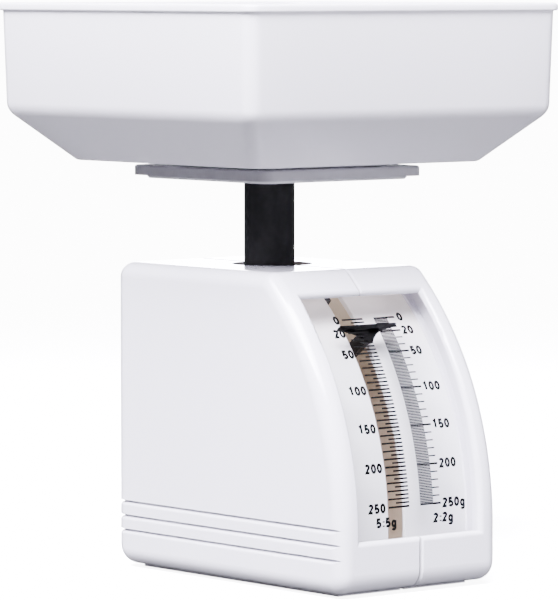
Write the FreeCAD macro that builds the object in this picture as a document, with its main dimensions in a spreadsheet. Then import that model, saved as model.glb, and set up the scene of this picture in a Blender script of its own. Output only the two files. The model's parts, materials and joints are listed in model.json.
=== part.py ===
"""Mechanical kitchen scale: a square weighing pan on a post, carried by a parallel
linkage and a tension spring in a narrow two-part housing with a curved front dial.

Frame: millimetres, +Z up, floor at Z 0, the dial faces -Y, the housing's joint
plane is X 0, and the origin is the bottom centre of the whole scale.
"""
import FreeCAD, Part
import os
import Sketcher

doc = FreeCAD.newDocument("kitchen_scale")
sheet = doc.addObject("Spreadsheet::Sheet", "dims")

DRIVING_DIMENSIONS = [
    # housing outside
    ("body_width", 62.0, "housing width across both halves"),
    ("front_y", -64.0, "front face of the housing"),
    ("back_y", 43.0, "back face of the housing"),
    ("base_z", 1.3, "underside of the housing shell"),
    ("top_z", 94.0, "top face of the housing"),
    ("arc_radius", 100.9, "curved front, centred on the lever pivot"),
    ("pivot_z", 18.5, "height of the lever pivot"),
    ("corner_radius", 4.7, "rounding of the upper edges that run across the housing"),
    ("base_radius", 6.0, "rounding of the lower edges that run across the housing"),
    ("side_radius", 4.6, "rounding of the housing's side edges"),
    ("wall", 2.0, "housing wall"),
    ("front_wall", 3.8, "housing wall around the window"),
    ("seam_gap", 0.12, "each half shell short of the joint plane"),
    ("seam_chamfer", 0.85, "chamfer of both halves along their joint"),
    ("groove_depth", 1.15, "finger grooves low on the sides and back"),
    ("groove_rise", 0.7, "groove's upper edge above its middle"),
    ("groove_pitch", 4.4, "height from one groove to the next"),
    ("groove_low_z", 11.45, "height of the lowest groove"),
    ("rim_side", 25.0, "half width of the base rim"),
    ("rim_front_y", -55.5, "front of the base rim"),
    ("rim_back_y", 36.0, "back of the base rim"),
    ("rim_width", 2.0, "thickness of the base rim"),
    ("rim_z", 0.25, "underside of the base rim"),
    ("rim_notch", 0.8, "half gap in the rim at the joint plane"),
    # dial
    ("opening_half", 23.6, "half width of the window opening"),
    ("opening_low", -1.0, "lower edge of the opening, degrees about the pivot"),
    ("opening_high", 43.0, "upper edge of the opening, degrees about the pivot"),
    ("window_radius", 98.2, "inner, printed face of the window"),
    ("window_thick", 0.9, "thickness of the window"),
    ("lip_radius", 1.5, "rounding of the opening's edge"),
    ("window_half", 27.0, "half width of the window"),
    ("window_lap", 1.6, "window beyond the opening, degrees"),
    ("fit_gap", 0.1, "clearance of a loose fit"),
    ("dial_radius", 90.0, "front face of the dial plate"),
    ("dial_thick", 1.4, "thickness of the dial plate"),
    ("dial_low", -6.0, "lower edge of the dial plate, degrees"),
    ("dial_high", 51.0, "upper edge of the dial plate, degrees"),
    ("slot_half", 3.5, "half width of the pointer slot"),
    ("stop_thick", 2.5, "rubber stop behind the dial plate, above the pointer's travel"),
    ("stop_reach", 9.0, "left end of the stop"),
    ("stop_end", 0.4, "right end of the stop"),
    ("stop_low", 47.8, "lower edge of the stop, degrees"),
    ("rib_width", 2.0, "ribs that hold the dial plate"),
    # linkage
    ("post_y", 6.0, "post axis"),
    ("pin_angle", 16.4, "lever pin above the pivot at rest, degrees"),
    ("guide_rise", 40.0, "guide link above the main lever"),
    ("pin_radius", 1.5, "lever pin and guide pin"),
    ("axle_radius", 2.0, "lever axle and guide axle"),
    ("running_gap", 0.05, "radial clearance of a turning fit"),
    ("press_gap", 0.02, "radial clearance of a fixed fit"),
    ("fork_inner", 5.0, "inner face of the fork's side plates"),
    ("fork_outer", 7.0, "outer face of the fork's side plates"),
    ("hub_radius", 4.0, "hubs at the pins"),
    ("sleeve_radius", 3.4, "sleeves on the axles"),
    ("boss_inner", 7.3, "inner end of the housing's axle bosses"),
    ("web_radius", 48.0, "fork's front web, from the pivot"),
    ("web_angle", 28.0, "fork's front web at rest, degrees"),
    # post and platform
    ("post_radius", 7.7, "outside of the post tube"),
    ("post_wall", 1.5, "wall of the post tube"),
    ("post_low_z", 76.0, "lower end of the post tube"),
    ("post_hole_radius", 12.3, "hole in the housing's top"),
    ("post_hole_y", 4.7, "centre of that hole"),
    ("carrier_half", 29.0, "half width of the platform carrier"),
    ("carrier_z", 120.0, "underside of the platform carrier"),
    ("platform_half", 32.0, "half width of the platform plate"),
    ("platform_radius", 4.5, "corner radius of the platform"),
    ("platform_z", 121.0, "underside of the platform plate"),
    ("platform_thick", 3.1, "thickness of the platform plate"),
    ("spigot_half", 22.0, "half width of the raised square that locates the pan"),
    ("spigot_rise", 0.9, "height of that square"),
    # pan
    ("pan_y", 2.5, "centre of the pan and the platform"),
    ("pan_foot", 24.5, "half width of the foot ring under the pan"),
    ("pan_bottom_half", 44.5, "half width of the flat bottom"),
    ("pan_bottom_z", 125.4, "underside of the pan's bottom"),
    ("pan_shoulder_half", 59.7, "half width where the walls begin"),
    ("pan_shoulder_z", 140.5, "height where the walls begin"),
    ("pan_wall_half", 60.5, "half width just under the lip"),
    ("pan_lip_z", 170.9, "underside of the lip"),
    ("pan_top_z", 173.3, "top of the pan"),
    ("pan_lip_half", 61.5, "half width over the lip"),
    ("pan_radius", 4.5, "corner radius of the pan"),
    ("pan_wall", 2.0, "thickness of the pan"),
    # pointer
    ("pointer_radius", 97.0, "front face of the pointer bar"),
    ("pointer_deep", 2.6, "depth of the pointer bar"),
    ("funnel_deep", 0.8, "depth of the funnel at the back of the bar"),
    ("pointer_angle", 37.85, "top edge of the pointer at rest, degrees"),
    ("pointer_half", 10.8, "half length of the pointer bar"),
    ("pointer_bar", 1.6, "height of the pointer bar's front face"),
    ("pointer_back", 0.3, "height of the pointer bar where it meets the funnel"),
    ("pointer_root", 0.2, "depth that the pointer bar reaches into the funnel"),
    ("pointer_drop", 5.2, "from the top of the bar to the tip"),
    ("funnel_half", 10.6, "half width of the funnel at the bar"),
    ("tip_half", 0.6, "half width of the tip"),
    ("arm_half", 1.0, "half thickness of the pointer arm"),
    ("arm_rise", 2.0, "half height of the pointer arm"),
    ("arm_drop", 1.5, "pointer arm below the top of the bar, degrees"),
    # spring and zero setting
    ("spring_y", 30.0, "axis of the spring and its hanger"),
    ("spring_radius", 2.4, "mean radius of the coil"),
    ("wire_radius", 0.4, "spring wire"),
    ("coil_low_z", 24.6, "lower end of the coil"),
    ("coil_pitch", 1.7, "pitch of the coil"),
    ("coil_turns", 21.0, "turns of the coil"),
    ("loop_radius", 1.9, "mean radius of the end loops"),
    ("anchor_radius", 1.0, "spring anchor pin"),
    ("hanger_pin_z", 64.6, "cross pin of the hanger"),
    ("wheel_radius", 13.8, "zero wheel"),
    ("wheel_z", 77.0, "underside of the zero wheel"),
    ("wheel_thick", 4.0, "thickness of the zero wheel"),
    ("shelf_thick", 1.9, "shelves above and below the zero wheel"),
    ("rod_radius", 1.5, "threaded rod of the hanger"),
    # fasteners
    ("screw_radius", 1.3, "housing screws"),
    ("screw_boss", 3.5, "bosses for the housing screws"),
    ("screw_head", 2.7, "heads of the housing screws"),
    ("screw_drop", 4.0, "seats of the housing screws below the side wall's face"),
    ("screw_reach", 15.0, "housing screws beyond the joint plane"),
    ("foot_radius", 3.0, "rubber feet"),
    # inside fittings
    ("root", 0.5, "depth that a boss or a shelf reaches into a wall"),
    ("rib_thick", 1.0, "ribs that hold the dial plate"),
    ("shelf_reach", 9.0, "zero wheel's shelves in front of the spring"),
    ("lever_rise", 3.0, "half height of the lever's rear bars"),
    ("toe_radius", 2.5, "half height of the lever's front bars and of the guide link"),
    ("elbow_radius", 70.0, "where the pointer arm turns towards the dial"),
    ("link_web_reach", 11.0, "cross piece of the guide link behind the post"),
    ("link_web_radius", 1.8, "cross piece of the guide link"),
    ("pin_over", 1.3, "pins beyond the fork, for the clips"),
    ("clip_thick", 0.6, "retaining clips"),
    ("clip_radius", 3.0, "retaining clips"),
    ("clip_gap", 0.1, "clips clear of the fork"),
    ("stem_half", 3.0, "half width of the post bracket's stem"),
    ("stem_deep", 4.0, "half depth of the post bracket's stem"),
    ("plug_length", 14.0, "bracket's plug and carrier's spigot in the post"),
    ("roll_rise", 8.0, "roll pin above the post's lower end"),
    ("roll_radius", 1.0, "roll pin"),
    ("roll_short", 0.3, "roll pin below the post's surface"),
    ("thread_radius", 1.95, "hole for the platform screw's thread"),
    ("shank_radius", 1.9, "platform screw"),
    ("shank_clear", 2.1, "clearance hole for the platform screw"),
    ("shank_depth", 11.0, "platform screw below the carrier's underside"),
    ("sink_depth", 1.6, "seat of the platform screw"),
    ("sink_radius", 4.2, "counterbore for the platform screw"),
    ("top_head_radius", 4.0, "head of the platform screw"),
    ("top_head_high", 2.0, "head of the platform screw"),
]
for row, (alias, number, meaning) in enumerate(DRIVING_DIMENSIONS, start=1):
    sheet.set(f"A{row}", meaning)
    sheet.set(f"B{row}", str(number))
    sheet.setAlias(f"B{row}", alias)
doc.recompute()

# Places that follow from the driving dimensions.
PIVOT_Y = "(dims.front_y + dims.arc_radius)"
PIVOT_Z = "dims.pivot_z"
HALF_WIDTH = "(dims.body_width / 2)"
INNER_HALF = "(dims.body_width / 2 - dims.wall)"
PIN_Z = f"(dims.pivot_z + ({PIVOT_Y} - dims.post_y) * tan(dims.pin_angle))"
GUIDE_PIN_Z = f"({PIN_Z} + dims.guide_rise)"
GUIDE_PIVOT_Z = "(dims.pivot_z + dims.guide_rise)"
ANCHOR_Z = f"(dims.pivot_z + ({PIVOT_Y} - dims.spring_y) * tan(dims.pin_angle))"
PLATFORM_TOP = "(dims.platform_z + dims.platform_thick)"
BORE = "(dims.post_radius - dims.post_wall)"

SCREW_PLACES = [(-45.0, 9.0), (34.0, 7.6), (36.0, 87.4), (-14.0, 87.4)]
FOOT_PLACES = [(20.0, -50.5), (20.0, 31.0)]


def value(expression):
    """The number that an expression of the sheet gives now."""
    result = sheet.evalExpression(expression)
    return float(getattr(result, "Value", result))


def polar(radius, angle):
    """A point at a radius and an elevation angle in front of the lever pivot."""
    return (f"({PIVOT_Y} - ({radius}) * cos({angle}))",
            f"({PIVOT_Z} + ({radius}) * sin({angle}))")


def place(item, x, y, z):
    for axis, expression in zip("xyz", (x, y, z)):
        item.setExpression(f"Placement.Base.{axis}", str(expression))
    return item


def block(name, x, y, z):
    """A box from (low, high) pairs of expressions."""
    item = doc.addObject("Part::Box", name)
    for size, (low, high) in zip(("Length", "Width", "Height"), (x, y, z)):
        item.setExpression(size, f"({high}) - ({low})")
    return place(item, x[0], y[0], z[0])


AXIS_TURNS = {
    "x": FreeCAD.Rotation(FreeCAD.Vector(0, 1, 0), 90),
    "y": FreeCAD.Rotation(FreeCAD.Vector(1, 0, 0), -90),
    "z": FreeCAD.Rotation(),
}


def rod(name, axis, start, length, radius):
    """A cylinder that runs from start along +axis."""
    item = doc.addObject("Part::Cylinder", name)
    item.Placement.Rotation = AXIS_TURNS[axis]
    item.setExpression("Radius", str(radius))
    item.setExpression("Height", str(length))
    return place(item, *start)


def bar(name, start, end, half_height, x):
    """A flat bar in a YZ plane between two points, from x[0] to x[1]."""
    run = f"(({end[0]}) - ({start[0]}))"
    rise = f"(({end[1]}) - ({start[1]}))"
    turn = f"atan2({rise}; {run})"
    item = doc.addObject("Part::Box", name)
    item.Placement.Rotation = FreeCAD.Rotation(FreeCAD.Vector(1, 0, 0), 1)
    item.setExpression("Placement.Rotation.Angle", turn)
    item.setExpression("Length", f"({x[1]}) - ({x[0]})")
    item.setExpression("Width", f"sqrt({run}^2 + {rise}^2)")
    item.setExpression("Height", f"2 * ({half_height})")
    return place(item, x[0], f"{start[0]} + ({half_height}) * sin({turn})",
                 f"{start[1]} - ({half_height}) * cos({turn})")


def fuse(name, *items):
    item = doc.addObject("Part::MultiFuse", name)
    item.Shapes = list(items)
    item.Refine = True
    return item


def cut(name, base, *tools):
    item = doc.addObject("Part::Cut", name)
    item.Base = base
    item.Tool = tools[0] if len(tools) == 1 else fuse(name + "_tools", *tools)
    item.Refine = True
    return item


def new_body(name, plane):
    """A body, and the origin plane that its sketches lie on."""
    body = doc.addObject("PartDesign::Body", name)
    role = {"yz": "YZ_Plane", "xz": "XZ_Plane", "xy": "XY_Plane"}[plane]
    support = next(item for item in body.Origin.OriginFeatures if item.Role == role)
    return body, support


def sketch_on(body, support, name, height="0"):
    sketch = body.newObject("Sketcher::SketchObject", name)
    sketch.AttachmentSupport = [(support, "")]
    sketch.MapMode = "FlatFace"
    sketch.setExpression("AttachmentOffset.Base.z", height)
    return sketch


def fix_point(sketch, geometry, end, point):
    """Hold one end of a line at a pair of expressions."""
    for kind, expression in zip(("DistanceX", "DistanceY"), point):
        index = sketch.addConstraint(
            Sketcher.Constraint(kind, -1, 1, geometry, end, value(expression)))
        sketch.setExpression(f"Constraints[{index}]", expression)


def outline(sketch, points, arcs=None):
    """A closed outline through points given as expressions.

    arcs maps a side's number to (centre, radius, turn): turn is 1 where the side
    runs counter-clockwise about its centre and -1 where it runs clockwise.
    """
    arcs = arcs or {}
    places = [FreeCAD.Vector(value(u), value(v), 0) for u, v in points]
    ends = []
    for side, start in enumerate(places):
        end = places[(side + 1) % len(places)]
        if side not in arcs:
            number = sketch.addGeometry(Part.LineSegment(start, end))
            ends.append((number, 1, 2))
            continue
        centre, radius, turn = arcs[side]
        middle = FreeCAD.Vector(value(centre[0]), value(centre[1]), 0)
        circle = Part.Circle(middle, FreeCAD.Vector(0, 0, 1), value(radius))
        first, last = (start, end) if turn > 0 else (end, start)
        curve = Part.ArcOfCircle(circle, circle.parameter(first), circle.parameter(last))
        number = sketch.addGeometry(curve)
        ends.append((number, 1, 2) if turn > 0 else (number, 2, 1))
        index = sketch.addConstraint(Sketcher.Constraint("Radius", number, value(radius)))
        sketch.setExpression(f"Constraints[{index}]", radius)
    for side, (number, first, last) in enumerate(ends):
        following, its_first, _ = ends[(side + 1) % len(ends)]
        sketch.addConstraint(
            Sketcher.Constraint("Coincident", number, last, following, its_first))
    for side, point in enumerate(points):
        fix_point(sketch, ends[side][0], ends[side][1], point)
    return sketch


def rectangle(sketch, low, high):
    (x0, y0), (x1, y1) = low, high
    return outline(sketch, [(x0, y0), (x1, y0), (x1, y1), (x0, y1)])


def rounded_square(sketch, half, radius, centre_y="0"):
    """A square with round corners, centred at X 0."""
    half = f"({half})"
    flat = f"({half} - ({radius}))"
    points = []
    arcs = {}
    turns = [(1, -1), (1, 1), (-1, 1), (-1, -1)]
    for corner, (sx, sy) in enumerate(turns):
        centre = (f"{sx} * {flat}", f"{centre_y} + {sy} * {flat}")
        edge_x = (f"{sx} * {half}", centre[1])
        edge_y = (centre[0], f"{centre_y} + {sy} * {half}")
        points += [edge_y, edge_x] if sx * sy < 0 else [edge_x, edge_y]
        arcs[2 * corner] = (centre, radius, 1)
    return outline(sketch, points, arcs)


def pad(body, sketch, length, midplane=False, reverse=False):
    item = body.newObject("PartDesign::Pad", sketch.Name + "_pad")
    item.Profile = sketch
    item.setExpression("Length", length)
    item.Midplane = midplane
    item.Reversed = reverse
    return item


def fillet(body, radius, wanted):
    """Round every edge of the body's tip for which wanted(edge) holds."""
    doc.recompute()
    base = body.Tip
    names = [f"Edge{number}" for number, edge in enumerate(base.Shape.Edges, start=1)
             if wanted(edge)]
    item = body.newObject("PartDesign::Fillet", f"{body.Name}_fillet_{len(body.Group)}")
    item.Base = (base, names)
    item.setExpression("Radius", radius)
    return item


def chamfer(body, size, wanted):
    """Bevel every edge of the body's tip for which wanted(edge) holds."""
    doc.recompute()
    base = body.Tip
    names = [f"Edge{number}" for number, edge in enumerate(base.Shape.Edges, start=1)
             if wanted(edge)]
    item = body.newObject("PartDesign::Chamfer", f"{body.Name}_chamfer_{len(body.Group)}")
    item.Base = (base, names)
    item.setExpression("Size", size)
    return item


def runs_along_x(edge):
    size = edge.BoundBox
    return size.YLength < 0.01 and size.ZLength < 0.01 and size.XLength > 1


def lies_at_x(edge, x):
    size = edge.BoundBox
    return abs(size.XMin - x) < 0.01 and abs(size.XMax - x) < 0.01


def ring_sector(name, radii, x, angles):
    """A curved plate about the lever pivot, between two radii and two angles."""
    body, support = new_body(name, "xz")
    sketch = sketch_on(body, support, name + "_section")
    rectangle(sketch, (x[0], radii[0]), (x[1], radii[1]))
    turn = body.newObject("PartDesign::Revolution", name + "_turn")
    turn.Profile = sketch
    turn.ReferenceAxis = (sketch, ["H_Axis"])
    turn.setExpression("Angle", f"({angles[1]}) - ({angles[0]})")
    turn.Midplane = True
    body.Placement.Rotation = FreeCAD.Rotation(FreeCAD.Vector(1, 0, 0), 1)
    body.setExpression("Placement.Rotation.Angle", f"90 - (({angles[0]}) + ({angles[1]})) / 2")
    return place(body, "0", PIVOT_Y, PIVOT_Z)


PIECES = []


def finished(name, item):
    """Name a finished piece, which is also the name of its file."""
    item.Label = name
    PIECES.append((name, item))
    return item


# ---------------------------------------------------------------- housing halves

def side_profile(sketch, inset, front_inset):
    """The housing's outline seen from the side, moved in by the wall."""
    low, high = f"dims.base_z + {inset}", f"(dims.top_z - {inset})"
    front, back = f"dims.front_y + {front_inset}", f"dims.back_y - {inset}"
    radius = f"(dims.arc_radius - {front_inset})"
    arc_end = f"{PIVOT_Y} - sqrt({radius}^2 - ({high} - {PIVOT_Z})^2)"
    points = [(back, low), (front, low), (front, PIVOT_Z), (arc_end, high), (back, high)]
    return outline(sketch, points, {2: ((PIVOT_Y, PIVOT_Z), radius, -1)})


def round_half(name, inset, front_inset, half_width, less):
    """One half of the housing's form, X below 0, with its edges rounded."""
    body, support = new_body(name, "yz")
    side = side_profile(sketch_on(body, support, name + "_side"), inset, front_inset)
    pad(body, side, half_width, reverse=True)
    pivot_z = value(PIVOT_Z)
    fillet(body, f"dims.corner_radius - {less}",
           lambda edge: runs_along_x(edge) and edge.BoundBox.ZMin > pivot_z + 1)
    fillet(body, f"dims.base_radius - {less}",
           lambda edge: runs_along_x(edge) and edge.BoundBox.ZMin < pivot_z - 10)
    fillet(body, f"dims.side_radius - {less}", lambda edge: lies_at_x(edge, -value(half_width)))
    return body


def hollow_half():
    """The left half shell, X below 0, without its bosses and openings."""
    blank = round_half("blank", "0", "0", HALF_WIDTH, "0")
    chamfer(blank, "dims.seam_chamfer", lambda edge: lies_at_x(edge, 0))
    cavity = round_half("cavity", "dims.wall", "dims.front_wall", INNER_HALF, "dims.wall")
    joint = block("joint_cutter", ("-dims.seam_gap", "1"),
                  ("dims.front_y - 1", "dims.back_y + 1"), ("dims.base_z - 1", "dims.top_z + 1"))
    return cut("hollow_half", blank, cavity, joint)


def groove_section(name, across, sign, placement):
    """The three grooves' section: a crisp upper edge over a rib with a round top.

    across is the wall's outer face along the sketch's first axis, and sign points
    from that face into the wall.
    """
    sketch = doc.addObject("Sketcher::SketchObject", name)
    sketch.Placement = placement
    deep = "dims.groove_depth"
    for step in range(3):
        height = f"(dims.groove_low_z + {step} * dims.groove_pitch)"
        rib_top = f"{height} - 1.5 * dims.groove_rise"
        section = [("-0.6", f"{height} + dims.groove_rise"), ("0", f"{height} + dims.groove_rise"),
                   (f"0.8 * {deep}", f"{height} + 0.6 * dims.groove_rise"),
                   (deep, f"{height} + 0.3 * dims.groove_rise"), (deep, f"{rib_top} + {deep}"),
                   ("0", rib_top), ("-0.6", rib_top)]
        points = [(f"{across} + {sign} * ({u})", v) for u, v in section]
        centre = (f"{across} + {sign} * {deep}", rib_top)
        outline(sketch, points, {4: (centre, deep, sign)})
    return sketch


def extrude(name, sketch, direction, length):
    item = doc.addObject("Part::Extrusion", name)
    item.Base = sketch
    item.DirMode = "Custom"
    item.Dir = direction
    item.setExpression("LengthFwd", length)
    item.Solid = True
    return item


def groove_cutters():
    """Grooves along the side, round the back corner and across the back."""
    side_end, corner_x = value("dims.back_y - dims.side_radius"), value(
        f"-{HALF_WIDTH} + dims.side_radius")
    upright = FreeCAD.Rotation(FreeCAD.Vector(1, 0, 0), 90)
    sideways = FreeCAD.Rotation(FreeCAD.Vector(1, 1, 1), 120)
    on_side = groove_section("groove_side_section", f"-{HALF_WIDTH}", 1,
                             FreeCAD.Placement(FreeCAD.Vector(0, side_end, 0), upright))
    on_back = groove_section("groove_back_section", "dims.back_y", -1,
                             FreeCAD.Placement(FreeCAD.Vector(corner_x, 0, 0), sideways))
    side = extrude("groove_side", on_side, FreeCAD.Vector(0, -1, 0),
                   "dims.back_y - dims.side_radius - dims.front_y + 1")
    back = extrude("groove_back", on_back, FreeCAD.Vector(1, 0, 0),
                   f"{HALF_WIDTH} - dims.side_radius + 1")
    corner = doc.addObject("Part::Revolution", "groove_corner")
    corner.Source = on_side
    corner.Base = FreeCAD.Vector(corner_x, side_end, 0)
    corner.Axis = FreeCAD.Vector(0, 0, -1)
    corner.Angle = 90
    corner.Solid = True
    return [side, corner, back]


def base_rim():
    """The rim that the housing half stands on, open at the joint plane."""
    inner = "-dims.rim_side + dims.rim_width"
    outside = block("rim_outside", ("-dims.rim_side", "-dims.rim_notch"),
                    ("dims.rim_front_y", "dims.rim_back_y"), ("dims.rim_z", "dims.base_z + 0.5"))
    inside = block("rim_inside", (inner, "1"),
                   ("dims.rim_front_y + dims.rim_width", "dims.rim_back_y - dims.rim_width"),
                   ("dims.rim_z - 1", "dims.base_z"))
    return cut("rim", outside, inside)


def axle_boss(name, z):
    start = (f"-{INNER_HALF} - dims.root", PIVOT_Y, z)
    return rod(name, "x", start, f"{INNER_HALF} + dims.root - dims.boss_inner", "dims.hub_radius")


def dial_ribs():
    """Two curved ribs on the side wall, which hold the dial plate between them."""
    x = (f"-{INNER_HALF} - dims.root", f"-{INNER_HALF} + dims.rib_width")
    angles = ("dims.dial_low + 1", "dims.dial_high - 1")
    front = ring_sector("rib_front", ("dims.dial_radius + dims.fit_gap",
                                      "dims.dial_radius + dims.fit_gap + dims.rib_thick"),
                        x, angles)
    rear_face = "dims.dial_radius - dims.dial_thick - dims.fit_gap"
    rear = ring_sector("rib_rear", (f"{rear_face} - dims.rib_thick", rear_face), x, angles)
    return [front, rear]


def wheel_shelves():
    """Shelves that hold the zero wheel, each with a notch for the hanger's rod."""
    shelves = []
    levels = [("low", "dims.wheel_z - dims.fit_gap - dims.shelf_thick"),
              ("high", "dims.wheel_z + dims.wheel_thick + dims.fit_gap")]
    for level, z in levels:
        plate = block(f"shelf_{level}", (f"-{INNER_HALF} - dims.root", "0"),
                      ("dims.spring_y - dims.shelf_reach",
                       "dims.back_y - dims.wall + dims.root"),
                      (z, f"{z} + dims.shelf_thick"))
        notch = rod(f"shelf_notch_{level}", "z", ("0", "dims.spring_y", f"{z} - 1"),
                    "dims.shelf_thick + 2", "dims.rod_radius + 0.5")
        shelves.append(cut(f"shelf_cut_{level}", plate, notch))
    return shelves


def screw_bosses():
    return [rod(f"screw_boss_{number}", "x", (f"-{INNER_HALF} - dims.root", y, z),
                f"{INNER_HALF} + dims.root", "dims.screw_boss")
            for number, (y, z) in enumerate(SCREW_PLACES)]


def on_opening_edge(edge):
    """Whether an edge lies where the window opening meets the curved front."""
    reach = value("dims.opening_half") + 0.01
    edge_y = [vertex.Point.y - value(PIVOT_Y) for vertex in edge.Vertexes]
    edge_z = [vertex.Point.z - value(PIVOT_Z) for vertex in edge.Vertexes]
    radius = value("dims.arc_radius")
    return (edge.BoundBox.XMin > -reach and len(edge.Vertexes) == 2
            and all(abs((y * y + z * z) ** 0.5 - radius) < 0.02 for y, z in zip(edge_y, edge_z))
            and (edge.BoundBox.XLength > 5 or edge.BoundBox.XMax < -reach + 0.1))


def round_edges(name, base, radius, wanted):
    """Round every edge of a shape for which wanted(edge) holds."""
    doc.recompute()
    item = doc.addObject("Part::Fillet", name)
    item.Base = base
    size = value(radius)
    item.Edges = [(number, size, size) for number, edge in enumerate(base.Shape.Edges, start=1)
                  if wanted(edge)]
    return item


def half_shell():
    """The left half shell with everything that both halves share."""
    solid = fuse("half_solid", hollow_half(), base_rim(), axle_boss("boss_lever", PIVOT_Z),
                 axle_boss("boss_guide", GUIDE_PIVOT_Z), *dial_ribs(), *wheel_shelves(),
                 *screw_bosses())
    angles = ("dims.opening_low", "dims.opening_high")
    opening = ring_sector("opening_cutter", ("dims.dial_radius + 5", "dims.arc_radius + 5"),
                          ("-dims.opening_half", "1"), angles)
    lap = "(dims.window_lap + 0.1)"
    seat = ring_sector("window_seat_cutter",
                       ("dims.arc_radius - dims.front_wall - 1",
                        "dims.window_radius + dims.window_thick"),
                       ("-dims.window_half - dims.fit_gap", "1"),
                       (f"{angles[0]} - {lap}", f"{angles[1]} + {lap}"))
    post_hole = rod("post_hole", "z", ("0", "dims.post_hole_y", "dims.top_z - 5"), "10",
                    "dims.post_hole_radius")
    axle_holes = [rod(f"axle_hole_{number}", "x", (f"-{INNER_HALF}", PIVOT_Y, z),
                      INNER_HALF, "dims.axle_radius + dims.press_gap")
                  for number, z in enumerate((PIVOT_Z, GUIDE_PIVOT_Z))]
    wheel_slot = block("wheel_slot", ("-9", "1"), ("dims.spring_y", "dims.back_y + 1"),
                       ("dims.wheel_z - 0.1", "dims.wheel_z + dims.wheel_thick + 0.1"))
    opened = cut("opened_shell", solid, opening)
    rounded = round_edges("rounded_shell", opened, "dims.lip_radius", on_opening_edge)
    return cut("half_shell", rounded, seat, post_hole, *axle_holes, wheel_slot,
               *groove_cutters())


shell = half_shell()
pilot_holes = [rod(f"pilot_{number}", "x", ("-dims.screw_reach - 1", y, z), "dims.screw_reach + 2",
                   "dims.screw_radius + dims.press_gap")
               for number, (y, z) in enumerate(SCREW_PLACES)]
finished("left_housing", cut("left_half", shell, *pilot_holes))

mirrored = doc.addObject("Part::Mirroring", "mirrored_shell")
mirrored.Source = shell
mirrored.Normal = FreeCAD.Vector(1, 0, 0)
clear_holes = []
for number, (y, z) in enumerate(SCREW_PLACES):
    clear_holes.append(rod(f"clear_{number}", "x", ("-1", y, z), HALF_WIDTH + " + 2",
                           "dims.screw_radius + 0.3"))
    clear_holes.append(rod(f"sink_{number}", "x", (f"{HALF_WIDTH} - dims.screw_drop", y, z), "5",
                           "dims.screw_head + 0.3"))
finished("right_housing", cut("right_half", mirrored, *clear_holes))

# ---------------------------------------------------------------- window and dial

finished("window", ring_sector(
    "window_plate", ("dims.window_radius", "dims.window_radius + dims.window_thick"),
    ("-dims.window_half", "dims.window_half"),
    ("dims.opening_low - dims.window_lap", "dims.opening_high + dims.window_lap")))

dial_blank = ring_sector(
    "dial_blank", ("dims.dial_radius - dims.dial_thick", "dims.dial_radius"),
    (f"-{INNER_HALF} + dims.fit_gap", f"{INNER_HALF} - dims.fit_gap"),
    ("dims.dial_low", "dims.dial_high"))
dial_slot = ring_sector(
    "dial_slot", ("dims.dial_radius - 5", "dims.dial_radius + 5"),
    ("-dims.slot_half", "dims.slot_half"), ("dims.dial_low + 2", "dims.dial_high - 1"))
finished("dial_plate", cut("dial", dial_blank, dial_slot))
finished("stop_pad", ring_sector(
    "stop", ("dims.dial_radius - dims.dial_thick - dims.stop_thick",
             "dims.dial_radius - dims.dial_thick"),
    ("-dims.stop_reach", "dims.stop_end"), ("dims.stop_low", "dims.dial_high - 0.5")))

# ---------------------------------------------------------------- lever and links

PIVOT = (PIVOT_Y, PIVOT_Z)
PIN = ("dims.post_y", PIN_Z)
GUIDE_PIVOT = (PIVOT_Y, GUIDE_PIVOT_Z)
GUIDE_PIN = ("dims.post_y", GUIDE_PIN_Z)
WEB = polar("dims.web_radius", "dims.web_angle")
FORK = ("-dims.fork_outer", "dims.fork_outer")


def across(name, centre, half, radius):
    """A cylinder along X, from -half to half."""
    return rod(name, "x", (f"-({half})", centre[0], centre[1]), f"2 * ({half})", radius)


def between_plates(name, y, z):
    return block(name, ("-dims.fork_inner", "dims.fork_inner"), y, z)


def main_lever():
    """A fork that straddles the post bracket and carries the pointer arm in front."""
    plates = fuse("lever_sides", bar("lever_rear", PIVOT, PIN, "dims.lever_rise", FORK),
                  bar("lever_front", PIN, WEB, "dims.toe_radius", FORK),
                  across("lever_hub", PIN, "dims.fork_outer", "dims.hub_radius"),
                  across("lever_toe", WEB, "dims.fork_outer", "dims.toe_radius"),
                  across("lever_heel", PIVOT, "dims.fork_outer", "dims.hub_radius"))
    gap = between_plates("lever_gap", ("dims.post_y - 60", f"{PIVOT_Y} + 20"),
                         ("0", "dims.top_z"))
    forked = cut("lever_fork", plates, gap)
    arm_angle = "dims.pointer_angle - dims.arm_drop"
    elbow = polar("dims.elbow_radius", arm_angle)
    tip = polar("dims.pointer_radius - dims.pointer_deep - dims.fit_gap", arm_angle)
    arm_x = ("-dims.arm_half", "dims.arm_half")
    whole = fuse("lever_whole", forked,
                 across("lever_sleeve", PIVOT, "dims.fork_outer", "dims.hub_radius"),
                 across("lever_web", WEB, "dims.fork_outer", "dims.toe_radius"),
                 bar("arm_low", WEB, elbow, "dims.arm_rise", arm_x),
                 across("arm_elbow", elbow, "dims.arm_half", "dims.arm_rise"),
                 bar("arm_high", elbow, tip, "dims.arm_rise", arm_x))
    return cut("lever_cut", whole,
               across("lever_axle_hole", PIVOT, "10", "dims.axle_radius + dims.running_gap"),
               across("lever_pin_hole", PIN, "10", "dims.pin_radius + dims.running_gap"),
               across("anchor_hole", ("dims.spring_y", ANCHOR_Z), "10",
                      "dims.anchor_radius + dims.press_gap"))


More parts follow.
